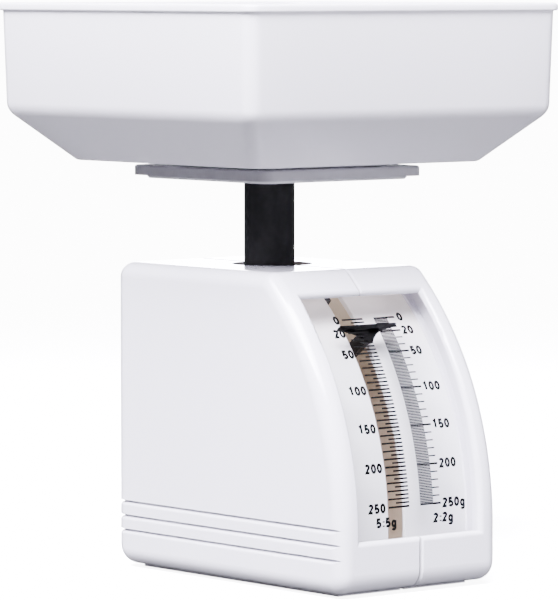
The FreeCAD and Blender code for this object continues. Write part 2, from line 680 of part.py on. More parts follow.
def guide_link():
    """The upper link, parallel to the main lever, which keeps the post upright."""
    plates = fuse("link_sides", bar("link_bar", GUIDE_PIVOT, GUIDE_PIN, "dims.toe_radius", FORK),
                  across("link_hub", GUIDE_PIN, "dims.fork_outer", "dims.hub_radius"),
                  across("link_heel", GUIDE_PIVOT, "dims.fork_outer", "dims.sleeve_radius"))
    gap = between_plates("link_gap", ("dims.post_y - 20", f"{PIVOT_Y} + 20"),
                         ("0", "dims.top_z"))
    web_y = "(dims.post_y + dims.link_web_reach)"
    web_z = f"({GUIDE_PIN_Z} - dims.link_web_reach * tan(dims.pin_angle))"
    whole = fuse("link_whole", cut("link_fork", plates, gap),
                 across("link_sleeve", GUIDE_PIVOT, "dims.fork_outer", "dims.sleeve_radius"),
                 across("link_web", (web_y, web_z), "dims.fork_outer", "dims.link_web_radius"))
    return cut("link_cut", whole,
               across("link_axle_hole", GUIDE_PIVOT, "10", "dims.axle_radius + dims.running_gap"),
               across("link_pin_hole", GUIDE_PIN, "10", "dims.pin_radius + 2 * dims.running_gap"))


finished("main_lever", main_lever())
finished("guide_link", guide_link())
AXLE_HALF = f"{INNER_HALF} - dims.fit_gap"
finished("lever_axle", across("axle_low", PIVOT, AXLE_HALF, "dims.axle_radius"))
finished("guide_axle", across("axle_high", GUIDE_PIVOT, AXLE_HALF, "dims.axle_radius"))
PIN_HALF = "dims.fork_outer + dims.pin_over"
finished("lever_pin", across("pin_low", PIN, PIN_HALF, "dims.pin_radius"))
finished("guide_pin", across("pin_high", GUIDE_PIN, PIN_HALF, "dims.pin_radius"))
finished("spring_anchor_pin", across("anchor", ("dims.spring_y", ANCHOR_Z),
                                     "dims.fork_outer", "dims.anchor_radius"))


def pin_clips():
    """Retaining rings at both ends of the lever pin and the guide pin."""
    rings = []
    for row, centre in enumerate((PIN, GUIDE_PIN)):
        for side in (-1, 1):
            low = ("dims.fork_outer + dims.clip_gap" if side > 0
                   else "-dims.fork_outer - dims.clip_gap - dims.clip_thick")
            start = (low, centre[0], centre[1])
            name = f"clip_{row}_{'right' if side > 0 else 'left'}"
            rings.append(cut(name, rod(name + "_ring", "x", start, "dims.clip_thick",
                                       "dims.clip_radius"),
                             across(name + "_hole", centre, "20",
                                    "dims.pin_radius + dims.press_gap")))
    group = doc.addObject("Part::Compound", "clips")
    group.Links = rings
    return group


finished("pin_clips", pin_clips())


def pointer():
    """A long bar on the front of a funnel that narrows in two hollow curves to the reading tip.

    The bar's section is a wedge: its underside rises from the front face to the funnel.
    """
    back = "dims.pointer_radius - dims.pointer_deep"
    face = f"({back} + dims.funnel_deep)"
    wedge, side = new_body("pointer_bar_body", "yz")
    section = sketch_on(wedge, side, "pointer_bar_section", "-dims.pointer_half")
    root = f"{face} - dims.pointer_root"
    outline(section, [("0", root), ("0", "dims.pointer_radius"),
                      ("-dims.pointer_bar", "dims.pointer_radius"),
                      ("-dims.pointer_back", face), ("-dims.pointer_back", root)])
    pad(wedge, section, "2 * dims.pointer_half")
    funnel, front = new_body("pointer_funnel_body", "xy")
    shape = sketch_on(funnel, front, "pointer_funnel_shape", back)
    half, tip = "dims.funnel_half", "dims.tip_half"
    shoulder = "-dims.pointer_back"
    run, fall = f"({half} - {tip})", "(dims.pointer_drop - dims.pointer_back)"
    radius = f"(({run}^2 + {fall}^2) / (2 * {fall}))"
    middle = f"({shoulder} - {radius})"
    outline(shape, [(half, "0"), (f"-{half}", "0"), (f"-{half}", shoulder),
                    (f"-{tip}", "-dims.pointer_drop"), (tip, "-dims.pointer_drop"),
                    (half, shoulder)],
            {2: ((f"-{half}", middle), radius, -1), 4: ((half, middle), radius, -1)})
    pad(funnel, shape, "dims.funnel_deep")
    for body in (wedge, funnel):
        body.Placement.Rotation = FreeCAD.Rotation(FreeCAD.Vector(1, 0, 0), 1)
        body.setExpression("Placement.Rotation.Angle", "90 - dims.pointer_angle")
        place(body, "0", PIVOT_Y, PIVOT_Z)
    return fuse("pointer_whole", wedge, funnel)


finished("pointer", pointer())

# ---------------------------------------------------------------- post and platform

POST_AXIS = ("0", "dims.post_y")
ROLL_PIN = ("dims.post_y", "dims.post_low_z + dims.roll_rise")


def post_tube():
    height = "dims.carrier_z - dims.post_low_z"
    outer = rod("tube_outer", "z", (*POST_AXIS, "dims.post_low_z"), height, "dims.post_radius")
    bore = rod("tube_bore", "z", (*POST_AXIS, "dims.post_low_z - 1"), f"{height} + 2", BORE)
    return cut("tube_cut", outer, bore,
               across("tube_pin_hole", ROLL_PIN, "20", "dims.roll_radius + dims.press_gap"))


def post_bracket():
    """A flat stem with bosses at both pins and a plug that fills the tube's lower end."""
    stem = block("stem", ("-dims.stem_half", "dims.stem_half"),
                 ("dims.post_y - dims.stem_deep", "dims.post_y + dims.stem_deep"),
                 (PIN_Z, "dims.post_low_z + 1"))
    plug = rod("plug", "z", (*POST_AXIS, "dims.post_low_z"), "dims.plug_length",
               f"{BORE} - dims.running_gap")
    bosses = [across(f"stem_boss_{number}", centre, "dims.fork_inner - dims.fit_gap",
                     "dims.hub_radius") for number, centre in enumerate((PIN, GUIDE_PIN))]
    holes = [across(f"stem_hole_{number}", centre, "20", "dims.pin_radius + dims.press_gap")
             for number, centre in enumerate((PIN, GUIDE_PIN))]
    return cut("bracket_cut", fuse("bracket_whole", stem, plug, *bosses), *holes,
               across("plug_pin_hole", ROLL_PIN, "20", "dims.roll_radius + dims.press_gap"))


finished("post_tube", post_tube())
finished("post_bracket", post_bracket())
finished("tube_roll_pin", across("roll_pin", ROLL_PIN, "dims.post_radius - dims.roll_short",
                                 "dims.roll_radius"))

SPIGOT_LOW = "dims.carrier_z - dims.plug_length"


def square_plate(name, z, thick, half, radius):
    body, support = new_body(name, "xy")
    sketch = sketch_on(body, support, name + "_outline", z)
    rounded_square(sketch, half, radius, "dims.pan_y")
    pad(body, sketch, thick)
    return body


def platform_carrier():
    """A thin square plate with bevelled lower edges on a spigot in the post's top."""
    body = square_plate("carrier_plate", "dims.carrier_z", "dims.platform_z - dims.carrier_z",
                        "dims.carrier_half", "dims.platform_radius - 1")
    doc.recompute()
    low = value("dims.carrier_z")
    names = [f"Edge{number}" for number, edge in enumerate(body.Tip.Shape.Edges, start=1)
             if edge.BoundBox.ZLength < 0.01 and abs(edge.BoundBox.ZMin - low) < 0.01]
    bevel = body.newObject("PartDesign::Chamfer", "carrier_bevel")
    bevel.Base = (body.getObject("carrier_plate_outline_pad"), names)
    bevel.Size = 0.6
    spigot = rod("carrier_spigot", "z", (*POST_AXIS, SPIGOT_LOW), "dims.plug_length + dims.root",
                 f"{BORE} - dims.running_gap")
    hole = rod("carrier_hole", "z", (*POST_AXIS, "dims.carrier_z - dims.shank_depth - 1"), "20",
               "dims.thread_radius")
    return cut("carrier_cut", fuse("carrier_whole", body, spigot), hole)


def platform_plate():
    """The square platform, with a raised square that locates the pan."""
    body = square_plate("platform_blank", "dims.platform_z", "dims.platform_thick",
                        "dims.platform_half", "dims.platform_radius")
    doc.recompute()
    top = value(PLATFORM_TOP)
    fillet(body, "0.8", lambda edge: edge.BoundBox.ZLength < 0.01
           and abs(edge.BoundBox.ZMin - top) < 0.01)
    raised = square_plate("platform_raised", f"{PLATFORM_TOP} - 1", "dims.spigot_rise + 1",
                          "dims.spigot_half", "2")
    hole = rod("platform_hole", "z", (*POST_AXIS, "dims.platform_z - 1"), "20", "dims.shank_clear")
    sink = rod("platform_sink", "z", (*POST_AXIS, f"{PLATFORM_TOP} - dims.sink_depth"), "5",
               "dims.sink_radius")
    return cut("platform_cut", fuse("platform_whole", body, raised), hole, sink)


finished("platform_carrier", platform_carrier())
finished("platform_plate", platform_plate())
screw_seat = f"{PLATFORM_TOP} - dims.sink_depth"
finished("platform_screw", fuse(
    "top_screw", rod("top_screw_head", "z", (*POST_AXIS, screw_seat), "dims.top_head_high",
                        "dims.top_head_radius"),
    rod("top_screw_shank", "z", (*POST_AXIS, "dims.carrier_z - dims.shank_depth"),
        f"{screw_seat} + 1 - dims.carrier_z + dims.shank_depth", "dims.shank_radius")))

# ---------------------------------------------------------------- pan


def loft(body, kind, name, sections):
    item = body.newObject(f"PartDesign::{kind}", name)
    item.Profile = sections[0]
    item.Sections = sections[1:]
    item.Ruled = True
    return item


def pan():
    """A square bowl: flat bottom, sloping skirt, nearly upright walls and a lip."""
    body, support = new_body("pan_body", "xy")
    floor_z = "dims.pan_bottom_z + dims.pan_wall"
    slope = "0.8"
    levels = [
        ("outer_bottom", "dims.pan_bottom_z", "dims.pan_bottom_half", "dims.pan_radius"),
        ("outer_shoulder", "dims.pan_shoulder_z", "dims.pan_shoulder_half", "dims.pan_radius"),
        ("outer_top", "dims.pan_lip_z", "dims.pan_wall_half", "dims.pan_radius"),
        ("inner_bottom", floor_z, f"(dims.pan_bottom_half - {slope})", "dims.pan_radius - 2"),
        ("inner_shoulder", f"dims.pan_shoulder_z + {slope}",
         "(dims.pan_shoulder_half - dims.pan_wall)", "dims.pan_radius - 2"),
        ("inner_top", "dims.pan_top_z", "(dims.pan_wall_half - dims.pan_wall)",
         "dims.pan_radius - 2"),
    ]
    sections = {}
    for name, z, half, radius in levels:
        sections[name] = rounded_square(sketch_on(body, support, name, z), half, radius,
                                        "dims.pan_y")
    doc.recompute()
    loft(body, "AdditiveLoft", "pan_skirt", [sections["outer_bottom"], sections["outer_shoulder"]])
    loft(body, "AdditiveLoft", "pan_wall", [sections["outer_shoulder"], sections["outer_top"]])
    lip = rounded_square(sketch_on(body, support, "lip_outline", "dims.pan_lip_z"),
                         "dims.pan_lip_half", "dims.pan_radius + 0.5", "dims.pan_y")
    pad(body, lip, "dims.pan_top_z - dims.pan_lip_z")
    doc.recompute()
    loft(body, "SubtractiveLoft", "hollow_skirt",
         [sections["inner_bottom"], sections["inner_shoulder"]])
    loft(body, "SubtractiveLoft", "hollow_wall",
         [sections["inner_shoulder"], sections["inner_top"]])
    doc.recompute()
    ring = square_plate("foot_outside", PLATFORM_TOP, f"dims.pan_bottom_z - {PLATFORM_TOP} + 0.5",
                        "dims.pan_foot", "3")
    inside = square_plate("foot_inside", f"{PLATFORM_TOP} - 1",
                          f"dims.pan_bottom_z - {PLATFORM_TOP} + 1",
                          "dims.spigot_half + 0.3", "2.3")
    return fuse("pan_whole", body, cut("foot_ring", ring, inside))


finished("pan", pan())

# ---------------------------------------------------------------- spring and zero wheel

SPRING_AXIS = ("0", "dims.spring_y")


def balance_spring():
    """An extension spring: a wire coil with a round loop at each end."""
    radius, pitch = value("dims.spring_radius"), value("dims.coil_pitch")
    wire, low = value("dims.wire_radius"), value("dims.coil_low_z")
    length = pitch * value("dims.coil_turns")
    loop, y = value("dims.loop_radius"), value("dims.spring_y")
    helix = Part.makeHelix(pitch, length, radius)
    section = Part.Wire(Part.makeCircle(wire, FreeCAD.Vector(radius, 0, 0),
                                        FreeCAD.Vector(0, 1, 0)))
    coil = Part.Wire(helix).makePipeShell([section], True, True)
    coil.translate(FreeCAD.Vector(0, y, low))
    pieces = []
    seats = [(low, value(ANCHOR_Z) - value("dims.anchor_radius") - 0.1 + loop - wire),
             (low + length, value("dims.hanger_pin_z") + 0.9 + 0.1 - loop + wire)]
    for end, centre in seats:
        along_x = FreeCAD.Vector(1, 0, 0)
        pieces.append(Part.makeTorus(loop, wire, FreeCAD.Vector(0, y, centre), along_x))
        pieces.append(Part.makeCylinder(wire, radius, FreeCAD.Vector(0, y, end), along_x))
        near = centre + (loop if end > centre else -loop)
        rise = abs(end - near)
        if rise > 0.05:
            bottom = FreeCAD.Vector(0, y, min(end, near))
            pieces.append(Part.makeCylinder(wire, rise, bottom))
    item = doc.addObject("Part::Feature", "spring_wire")
    item.Shape = coil.multiFuse(pieces)
    return item


def spring_hanger():
    """A threaded rod with a forked foot and a cross pin for the spring's upper loop."""
    y = ("dims.spring_y - 2.2", "dims.spring_y + 2.2")
    foot = block("hanger_foot", ("-2.5", "2.5"), y,
                 ("dims.hanger_pin_z - 2", "dims.hanger_pin_z + 6"))
    gap = block("hanger_gap", ("-1", "1"), ("dims.spring_y - 3", "dims.spring_y + 3"),
                ("dims.hanger_pin_z - 3", "dims.hanger_pin_z + 3.5"))
    stem = rod("hanger_rod", "z", (*SPRING_AXIS, "dims.hanger_pin_z + 5"), "18",
               "dims.rod_radius")
    pin = across("hanger_pin", ("dims.spring_y", "dims.hanger_pin_z"), "2.5", "0.9")
    return fuse("hanger_whole", cut("hanger_fork", foot, gap), stem, pin)


def zero_wheel():
    """A thumb wheel with a grooved rim, threaded on the hanger's rod."""
    disc = rod("wheel_disc", "z", (*SPRING_AXIS, "dims.wheel_z"), "dims.wheel_thick",
               "dims.wheel_radius")
    hole = rod("wheel_hole", "z", (*SPRING_AXIS, "dims.wheel_z - 1"), "dims.wheel_thick + 2",
               "dims.rod_radius + dims.running_gap")
    flutes = []
    flute_count = 36
    for number in range(flute_count):
        turn = f"{number} * 360 / {flute_count}"
        start = (f"(dims.wheel_radius + 0.3) * cos({turn})",
                 f"dims.spring_y + (dims.wheel_radius + 0.3) * sin({turn})",
                 "dims.wheel_z - 1")
        flutes.append(rod(f"flute_{number}", "z", start, "dims.wheel_thick + 2", "0.75"))
    return cut("wheel_cut", disc, hole, *flutes)


finished("balance_spring", balance_spring())
finished("spring_hanger", spring_hanger())
finished("zero_wheel", zero_wheel())

# ---------------------------------------------------------------- fasteners and feet


def housing_screws():
    """Four pan-head screws that pull the right half onto the left half."""
    screws = []
    for number, (y, z) in enumerate(SCREW_PLACES):
        head = rod(f"screw_head_{number}", "x", (f"{HALF_WIDTH} - dims.screw_drop", y, z), "1.8",
                   "dims.screw_head")
        shank = rod(f"screw_shank_{number}", "x", ("-dims.screw_reach", y, z),
                    f"{HALF_WIDTH} + dims.screw_reach - dims.screw_drop + dims.root",
                    "dims.screw_radius")
        drive = block(f"screw_drive_{number}", (f"{HALF_WIDTH} - 3", HALF_WIDTH),
                      (f"{y} - 2", f"{y} + 2"), (f"{z} - 0.4", f"{z} + 0.4"))
        screws.append(cut(f"screw_{number}", fuse(f"screw_blank_{number}", head, shank), drive))
    group = doc.addObject("Part::Compound", "screws")
    group.Links = screws
    return group


def rubber_feet():
    pads = [rod(f"foot_{number}_{'left' if side < 0 else 'right'}", "z",
                (side * x, y, "0"), "dims.base_z", "dims.foot_radius")
            for number, (x, y) in enumerate(FOOT_PLACES) for side in (-1, 1)]
    group = doc.addObject("Part::Compound", "feet")
    group.Links = pads
    return group


finished("housing_screws", housing_screws())
finished("rubber_feet", rubber_feet())
floor_z = "(dims.base_z + dims.wall)"
finished("overload_pad", block("overload", ("-4", "4"), ("dims.post_y - 4", "dims.post_y + 4"),
                               (floor_z, f"{floor_z} + 0.6")))

# ---------------------------------------------------------------- check and write

doc.recompute()
for item in doc.Objects:
    if "Invalid" in item.State or "Error" in item.State:
        raise RuntimeError(f"{item.Name} failed: {item.State}")
for name, item in PIECES:
    if item.Shape.isNull() or not item.Shape.isValid():
        raise RuntimeError(f"{name} has no valid shape")

os.makedirs("parts", exist_ok=True)
for name, item in PIECES:
    item.Shape.exportStep(os.path.join("parts", name + ".step"))
    print(f"{name}: {len(item.Shape.Solids)} solid, {item.Shape.Volume:.0f} mm3")
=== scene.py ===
"""The looks of the kitchen scale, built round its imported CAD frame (metres, +Z up, dial towards -Y)."""
import json
import math

import bmesh
import bpy
from mathutils import Matrix, Vector


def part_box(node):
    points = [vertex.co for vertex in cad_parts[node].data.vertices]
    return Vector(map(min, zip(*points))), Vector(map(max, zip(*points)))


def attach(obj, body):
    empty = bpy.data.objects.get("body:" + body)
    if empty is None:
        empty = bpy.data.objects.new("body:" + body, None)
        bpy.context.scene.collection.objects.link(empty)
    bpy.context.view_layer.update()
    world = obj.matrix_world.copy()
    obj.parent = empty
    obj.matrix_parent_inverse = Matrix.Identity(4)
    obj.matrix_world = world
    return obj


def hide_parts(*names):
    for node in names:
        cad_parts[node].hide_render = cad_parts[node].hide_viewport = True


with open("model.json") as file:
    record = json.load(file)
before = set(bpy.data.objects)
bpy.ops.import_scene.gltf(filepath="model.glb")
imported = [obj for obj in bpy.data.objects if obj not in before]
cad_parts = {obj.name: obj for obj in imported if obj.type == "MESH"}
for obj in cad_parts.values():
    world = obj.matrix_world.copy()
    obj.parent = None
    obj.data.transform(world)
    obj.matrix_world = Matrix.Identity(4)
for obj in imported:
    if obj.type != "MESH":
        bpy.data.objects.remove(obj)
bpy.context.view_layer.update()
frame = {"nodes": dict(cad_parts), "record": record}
MM = 0.001


def box_mm(node):
    """Lowest and highest corner of a CAD node, in millimetres."""
    low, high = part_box(node)
    return low / MM, high / MM


LEVER_AXIS = sum(box_mm("lever_axle"), Vector()) / 2
PIVOT_Y, PIVOT_Z = LEVER_AXIS.y, LEVER_AXIS.z


def on_arc(x, angle, radius):
    """A point in metres at a place across the dial, an angle and a radius about the lever's axis."""
    turn = math.radians(angle)
    return Vector((x, PIVOT_Y - radius * math.cos(turn), PIVOT_Z + radius * math.sin(turn))) * MM


# ------------------------------------------------------------------ camera, light and floor

CAMERA_AZIMUTH = math.radians(39.82)
CAMERA_DROP = math.radians(4.06)
CAMERA_PLACE = Vector((-881.19, -1055.46, 180.67)) * MM
LENS = 272.2
SENSOR = 36.0
FAR_CLIP = 200.0

BACKDROP = 13.0
SKY = 0.12
BACK_GLOW = 28.0
GLOW_EDGE, GLOW_CORE = 0.93, 0.995
LIGHT_TINT = (1.0, 0.98, 1.1)
LIGHT_AIM = Vector((0, 0, 0.09))

FLOOR_REACH = 80.0
FLOOR_SHADE = 0.08
FLOOR_SEEN = 9.0
FLOOR_NEAR, FLOOR_FAR = 0.3, 1.2
FLOOR_LIFT = 0.6

# Name, azimuth and elevation in degrees, distance, size, power, and whether gloss mirrors it.
SOFT_BOXES = [
    ("left_box", -70, 48, 1.3, (0.9, 0.8), 82, True),
    ("key_box", -48, 50, 1.3, (0.9, 0.8), 112, True),
    ("low_front_box", 35, 5, 1.3, (0.9, 0.2), 12, False),
    ("low_left_box", -60, 5, 1.3, (0.9, 0.2), 0.5, False),
]


def add_camera():
    """A long lens a little above the dial, to the left of its front."""
    data = bpy.data.cameras.new("camera")
    data.lens = LENS
    data.sensor_width = SENSOR
    data.clip_end = FAR_CLIP
    camera = bpy.data.objects.new("camera", data)
    bpy.context.scene.collection.objects.link(camera)
    look = Vector((math.sin(CAMERA_AZIMUTH) * math.cos(CAMERA_DROP),
                   math.cos(CAMERA_AZIMUTH) * math.cos(CAMERA_DROP),
                   -math.sin(CAMERA_DROP)))
    camera.location = CAMERA_PLACE
    camera.rotation_euler = look.to_track_quat("-Z", "Y").to_euler()
    bpy.context.scene.camera = camera


def add_area_light(name, azimuth, elevation, distance, size, power, reflected):
    """A soft box that looks at the scale from an azimuth (0 is in front, 90 on the right)."""
    data = bpy.data.lights.new(name, "AREA")
    data.shape = "RECTANGLE"
    data.size, data.size_y = size
    data.energy = power
    data.color = LIGHT_TINT
    light = bpy.data.objects.new(name, data)
    turn, lift = math.radians(azimuth), math.radians(elevation)
    away = Vector((math.sin(turn) * math.cos(lift), -math.cos(turn) * math.cos(lift),
                   math.sin(lift)))
    light.location = LIGHT_AIM + away * distance
    light.rotation_euler = (-away).to_track_quat("-Z", "Y").to_euler()
    light.visible_camera = False
    light.visible_glossy = reflected
    bpy.context.scene.collection.objects.link(light)


def add_studio():
    """A surround that is brighter to look at than it is as a lamp, a glow behind, and soft boxes."""
    world = bpy.data.worlds.new("studio")
    world.use_nodes = True
    tree = world.node_tree
    lamp = tree.nodes["Background"]
    lamp.inputs["Color"].default_value = (*LIGHT_TINT, 1)
    direction = tree.nodes.new("ShaderNodeTexCoord")
    towards = tree.nodes.new("ShaderNodeVectorMath")
    towards.operation = "DOT_PRODUCT"
    towards.inputs[1].default_value = (math.sin(CAMERA_AZIMUTH), math.cos(CAMERA_AZIMUTH), 0)
    glow = tree.nodes.new("ShaderNodeMapRange")
    glow.interpolation_type = "SMOOTHSTEP"
    glow.inputs["From Min"].default_value = GLOW_EDGE
    glow.inputs["From Max"].default_value = GLOW_CORE
    glow.inputs["To Min"].default_value = SKY
    glow.inputs["To Max"].default_value = BACK_GLOW
    tree.links.new(direction.outputs["Generated"], towards.inputs[0])
    tree.links.new(towards.outputs["Value"], glow.inputs["Value"])
    tree.links.new(glow.outputs["Result"], lamp.inputs["Strength"])
    seen = tree.nodes.new("ShaderNodeBackground")
    seen.inputs["Color"].default_value = (1.0, 1.0, 1.0, 1)
    seen.inputs["Strength"].default_value = BACKDROP
    path = tree.nodes.new("ShaderNodeLightPath")
    mix = tree.nodes.new("ShaderNodeMixShader")
    tree.links.new(path.outputs["Is Camera Ray"], mix.inputs["Fac"])
    tree.links.new(lamp.outputs["Background"], mix.inputs[1])
    tree.links.new(seen.outputs["Background"], mix.inputs[2])
    tree.links.new(mix.outputs["Shader"], tree.nodes["World Output"].inputs["Surface"])
    bpy.context.scene.world = world
    for box in SOFT_BOXES:
        add_area_light(*box)


def add_floor():
    """A wide floor, darker as a reflector than to the eye, that fades into the surround."""
    mesh = bpy.data.meshes.new("floor")
    corners = [(across * FLOOR_REACH, along * FLOOR_REACH, 0)
               for across, along in ((-1, -1), (1, -1), (1, 1), (-1, 1))]
    mesh.from_pydata(corners, [], [(0, 1, 2, 3)])
    floor = bpy.data.objects.new("floor", mesh)
    bpy.context.scene.collection.objects.link(floor)
    material = bpy.data.materials.new("floor")
    material.use_nodes = True
    tree = material.node_tree
    tree.nodes.remove(tree.nodes["Principled BSDF"])
    shades = []
    for brightness in (FLOOR_SHADE, FLOOR_SEEN):
        shade = tree.nodes.new("ShaderNodeBsdfDiffuse")
        shade.inputs["Color"].default_value = (brightness, brightness, brightness, 1)
        shades.append(shade)
    lit, near = shades
    distance = tree.nodes.new("ShaderNodeVectorMath")
    distance.operation = "LENGTH"
    place = tree.nodes.new("ShaderNodeTexCoord")
    tree.links.new(place.outputs["Object"], distance.inputs[0])
    fade = tree.nodes.new("ShaderNodeMapRange")
    fade.interpolation_type = "SMOOTHSTEP"
    fade.inputs["From Min"].default_value = FLOOR_NEAR
    fade.inputs["From Max"].default_value = FLOOR_FAR
    fade.inputs["To Min"].default_value = FLOOR_LIFT
    tree.links.new(distance.outputs["Value"], fade.inputs["Value"])
    far = tree.nodes.new("ShaderNodeEmission")
    far.inputs["Strength"].default_value = BACKDROP
    seen = tree.nodes.new("ShaderNodeMixShader")
    tree.links.new(fade.outputs["Result"], seen.inputs["Fac"])
    tree.links.new(near.outputs["BSDF"], seen.inputs[1])
    tree.links.new(far.outputs["Emission"], seen.inputs[2])
    path = tree.nodes.new("ShaderNodeLightPath")
    mix = tree.nodes.new("ShaderNodeMixShader")
    tree.links.new(path.outputs["Is Camera Ray"], mix.inputs["Fac"])
    tree.links.new(lit.outputs["BSDF"], mix.inputs[1])
    tree.links.new(seen.outputs["Shader"], mix.inputs[2])
    tree.links.new(mix.outputs["Shader"], tree.nodes["Material Output"].inputs["Surface"])
    mesh.materials.append(material)


# ------------------------------------------------------------------ materials

PAN_SHOULDER = 16.4


class Recipe:
    """A material being put together round its Principled shader."""

    def __init__(self, name):
        self.name = name
        self.material = bpy.data.materials.new(name)
        self.material.use_nodes = True
        self.tree = self.material.node_tree
        self.shader = self.tree.nodes["Principled BSDF"]
        self.place = self.node("TexCoord").outputs["Object"]

    def node(self, kind, **values):
        """A new shader node, with a value for each socket named (_ stands for a space)."""
        made = self.tree.nodes.new("ShaderNode" + kind)
        for socket, number in values.items():
            made.inputs[socket.replace("_", " ")].default_value = number
        return made

    def link(self, start, end):
        self.tree.links.new(start, end)

    def axes(self):
        """The place's x, y and z, in metres."""
        split = self.node("SeparateXYZ")
        self.link(self.place, split.inputs["Vector"])
        return split.outputs["X"], split.outputs["Y"], split.outputs["Z"]

    def tone(self):
        """Where the base colour comes from so far."""
        return self.shader.inputs["Base Color"].links[0].from_socket

    def noise(self, scale, detail, stretch=(1, 1, 1)):
        """Noise over the piece, whose stretch is how much finer it is along each axis."""
        made = self.node("TexNoise", Scale=scale, Detail=detail)
        mapping = self.node("Mapping", Scale=stretch)
        self.link(self.place, mapping.inputs["Vector"])
        self.link(mapping.outputs["Vector"], made.inputs["Vector"])
        return made.outputs["Fac"]

    def math(self, operation, first, second=0.0):
        """The result of an operation on two items, each a socket or a number."""
        made = self.node("Math")
        made.operation = operation
        for socket, item in zip(made.inputs, (first, second)):
            if isinstance(item, (int, float)):
                socket.default_value = item
            else:
                self.link(item, socket)
        return made.outputs["Value"]

    def between(self, factor, low, high, start=0.3, end=0.7):
        """A value or a colour that goes from low to high as the factor does from start to end."""
        if isinstance(low, tuple):
            ramp = self.node("ValToRGB")
            first, last = ramp.color_ramp.elements
            first.position, last.position = start, end
            first.color, last.color = (*low, 1), (*high, 1)
            self.link(factor, ramp.inputs["Fac"])
            return ramp.outputs["Color"]
        spread = self.node("MapRange", From_Min=start, From_Max=end, To_Min=low, To_Max=high)
        self.link(factor, spread.inputs["Value"])
        return spread.outputs["Result"]

    def mix(self, factor, first, second):
        """Two colours, each a socket or a tuple, mixed by a factor."""
        made = self.node("Mix")
        made.data_type = "RGBA"
        self.link(factor, made.inputs["Factor"])
        for socket, item in zip((made.inputs["A"], made.inputs["B"]), (first, second)):
            if isinstance(item, tuple):
                socket.default_value = (*item, 1)
            else:
                self.link(item, socket)
        return made.outputs["Result"]

    def bump(self, height, depth_mm, under=None):
        """A normal bumped by a height, on top of the normal under it if there is one."""
        made = self.node("Bump", Strength=1.0, Distance=depth_mm * MM)
        self.link(height, made.inputs["Height"])
        if under is not None:
            self.link(under, made.inputs["Normal"])
        return made.outputs["Normal"]

    def feed(self, socket, source):
        """Drive one of the Principled shader's sockets."""
        self.link(source, self.shader.inputs[socket])


def scaled(colour, share):
    """A colour made darker or brighter, kept at or below 1."""
    return tuple(min(1.0, part * share) for part in colour)


def moulded(name, colour, roughness, grain_mm=0.6, grain_depth=0.02, mottle=0.03,
            rough_spread=0.05, wear=0.0, coat=0.0, sink_mm=0.0, specular=0.5):
    """Injection-moulded plastic: fine grain, slow sink waves, uneven gloss and paler worn edges."""
    broad_scale, scuff_scale, sink_scale = 28.0, 350.0, 22.0
    edge_from, edge_to = 0.52, 0.6
    worn_lift, worn_gain = 0.03, 1.6
    least_rough, coat_rough = 0.02, 0.08
    made = Recipe(name)
    broad = made.noise(broad_scale, 3.0)
    tone = made.between(broad, scaled(colour, 1 - mottle), scaled(colour, 1 + mottle))
    if wear > 0:
        edge = made.between(made.node("NewGeometry").outputs["Pointiness"], 0.0, wear,
                            edge_from, edge_to)
        scuffs = made.math("MULTIPLY", edge, made.between(made.noise(scuff_scale, 2.0), 0.2, 1.0))
        worn = scaled(tuple(part + worn_lift for part in colour), worn_gain)
        tone = made.mix(scuffs, tone, worn)
    made.feed("Base Color", tone)
    made.feed("Roughness", made.between(broad, max(least_rough, roughness - rough_spread),
                                        roughness + rough_spread))
    normal = made.bump(made.noise(1.0 / (grain_mm * MM), 4.0), grain_depth)
    if sink_mm > 0:
        normal = made.bump(made.noise(sink_scale, 1.0), sink_mm, normal)
    made.feed("Normal", normal)
    made.shader.inputs["Coat Weight"].default_value = coat
    made.shader.inputs["Coat Roughness"].default_value = coat_rough
    made.shader.inputs["Specular IOR Level"].default_value = specular
    return made


def inside_shells(made):
    """1 on the inner faces of the two housing halves, 0 on the faces that show."""
    skin_depth, front_depth, floor_lift = 1.4, 13.0, 1.3
    x, y, z = made.axes()
    low, high = box_mm("left_housing")
    back = made.math("SUBTRACT", y, PIVOT_Y * MM)
    up = made.math("SUBTRACT", z, PIVOT_Z * MM)
    reach = made.math("SQRT", made.math("ADD", made.math("MULTIPLY", back, back),
                                        made.math("MULTIPLY", up, up)))
    front = PIVOT_Y - low.y
    tests = [
        made.math("LESS_THAN", made.math("ABSOLUTE", x), (-low.x - skin_depth) * MM),
        made.math("LESS_THAN", reach, (front - front_depth) * MM),
        made.math("LESS_THAN", z, (high.z - skin_depth) * MM),
        made.math("GREATER_THAN", z, (low.z + skin_depth + floor_lift) * MM),
        made.math("LESS_THAN", y, (high.y - skin_depth) * MM),
    ]
    hidden = tests[0]
    for test in tests[1:]:
        hidden = made.math("MULTIPLY", hidden, test)
    return hidden


def light_leak(made):
    """How strongly the shells' inside glows: dim at one height, more near the top, none at the roof."""
    dim_z, leak, leak_rise = 56.0, 0.26, 0.0075
    top_from, top_to, top_leak = 66.0, 84.0, 0.6
    roof_from, roof_to = 84.0, 89.0
    z = made.axes()[2]
    away = made.math("ABSOLUTE", made.math("SUBTRACT", z, dim_z * MM))
    glow = made.math("ADD", made.math("MULTIPLY", away, leak_rise / MM), leak)
    top = made.between(z, 0.0, top_leak, top_from * MM, top_to * MM)
    roof = made.between(z, 1.0, 0.0, roof_from * MM, roof_to * MM)
    return made.math("MULTIPLY", made.math("ADD", glow, top), roof)


